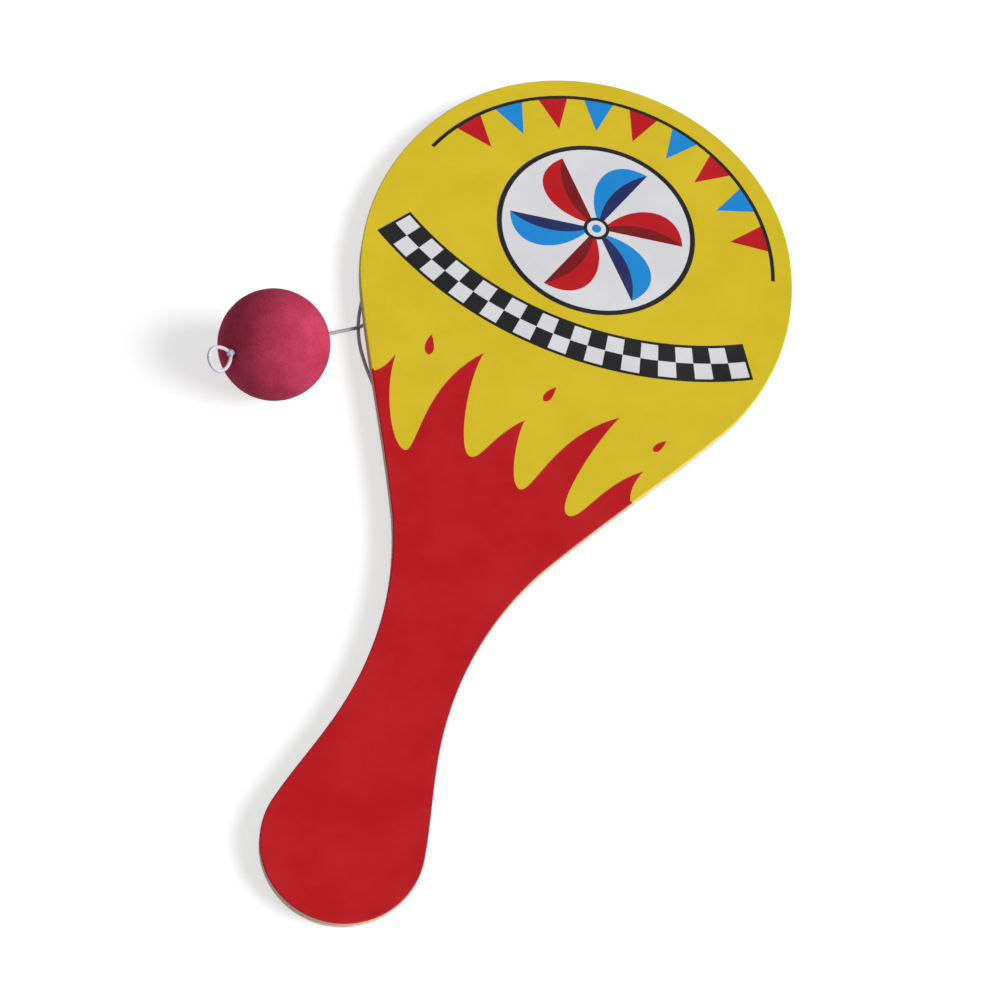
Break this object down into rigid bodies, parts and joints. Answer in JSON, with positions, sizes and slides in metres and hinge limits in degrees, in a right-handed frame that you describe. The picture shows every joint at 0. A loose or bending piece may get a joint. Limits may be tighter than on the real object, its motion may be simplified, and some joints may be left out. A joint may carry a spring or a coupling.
{
  "type": "paddle ball game",
  "caption": "Flat plywood bat with a printed face and a sponge ball on an elastic thread, stapled to the back of the bat.",
  "frame": {"origin": "on the back of the board, midway between the staple's legs, on the board's middle line", "axes": "+Y towards the head of the bat, +Z out of the printed face, +X to the right of the bat seen from its printed face"},
  "size_m": [0.115, 0.216, 0.024],
  "materials": {
    "print": "semi-gloss print",
    "face_veneer": "sanded",
    "core_veneer": "sanded",
    "staple_wire": "bright",
    "elastic": "matt",
    "sponge": "matt sponge"
  },
  "bodies": {
    "paddle": {"printed_film": "print", "front_ply": "face_veneer", "core_ply": "core_veneer", "back_ply": "face_veneer", "staple": "staple_wire", "anchor_knot": "elastic", "elastic_tail": "elastic", "elastic_anchor_run": "elastic", "elastic_coil": "elastic", "elastic_side_run": "elastic"},
    "thread_bend": {"elastic_bend": "elastic"},
    "thread_lead": {"elastic_lead": "elastic"},
    "thread_end": {"elastic_core": "elastic", "stop_knot": "elastic", "end_loop": "elastic"},
    "ball": {"ball": "sponge"}
  },
  "joints": [
    {"name": "ball_swing", "type": "hinge", "parent": "paddle", "child": "thread_bend", "pos_m": [-0.0404, -0.034, -0.0008], "axis": [0, 0, 1], "range_deg": [-85, 35]},
    {"name": "ball_lift", "type": "hinge", "parent": "thread_bend", "child": "thread_lead", "pos_m": [-0.0404, -0.034, -0.0008], "axis": [-0.8068, 0.5908, 0], "range_deg": [-50, 65]},
    {"name": "ball_pull", "type": "slide", "parent": "thread_lead", "child": "thread_end", "axis": [-0.5343, -0.7297, 0.4267], "range_m": [0, 0.4], "stiffness_N_per_m": 2.5, "deforming": ["elastic_lead"]},
    {"name": "ball_spin", "type": "hinge", "parent": "thread_end", "child": "ball", "pos_m": [-0.0538, -0.0523, 0.0099], "axis": [-0.5342, -0.7295, 0.4273], "continuous": true}
  ]
}
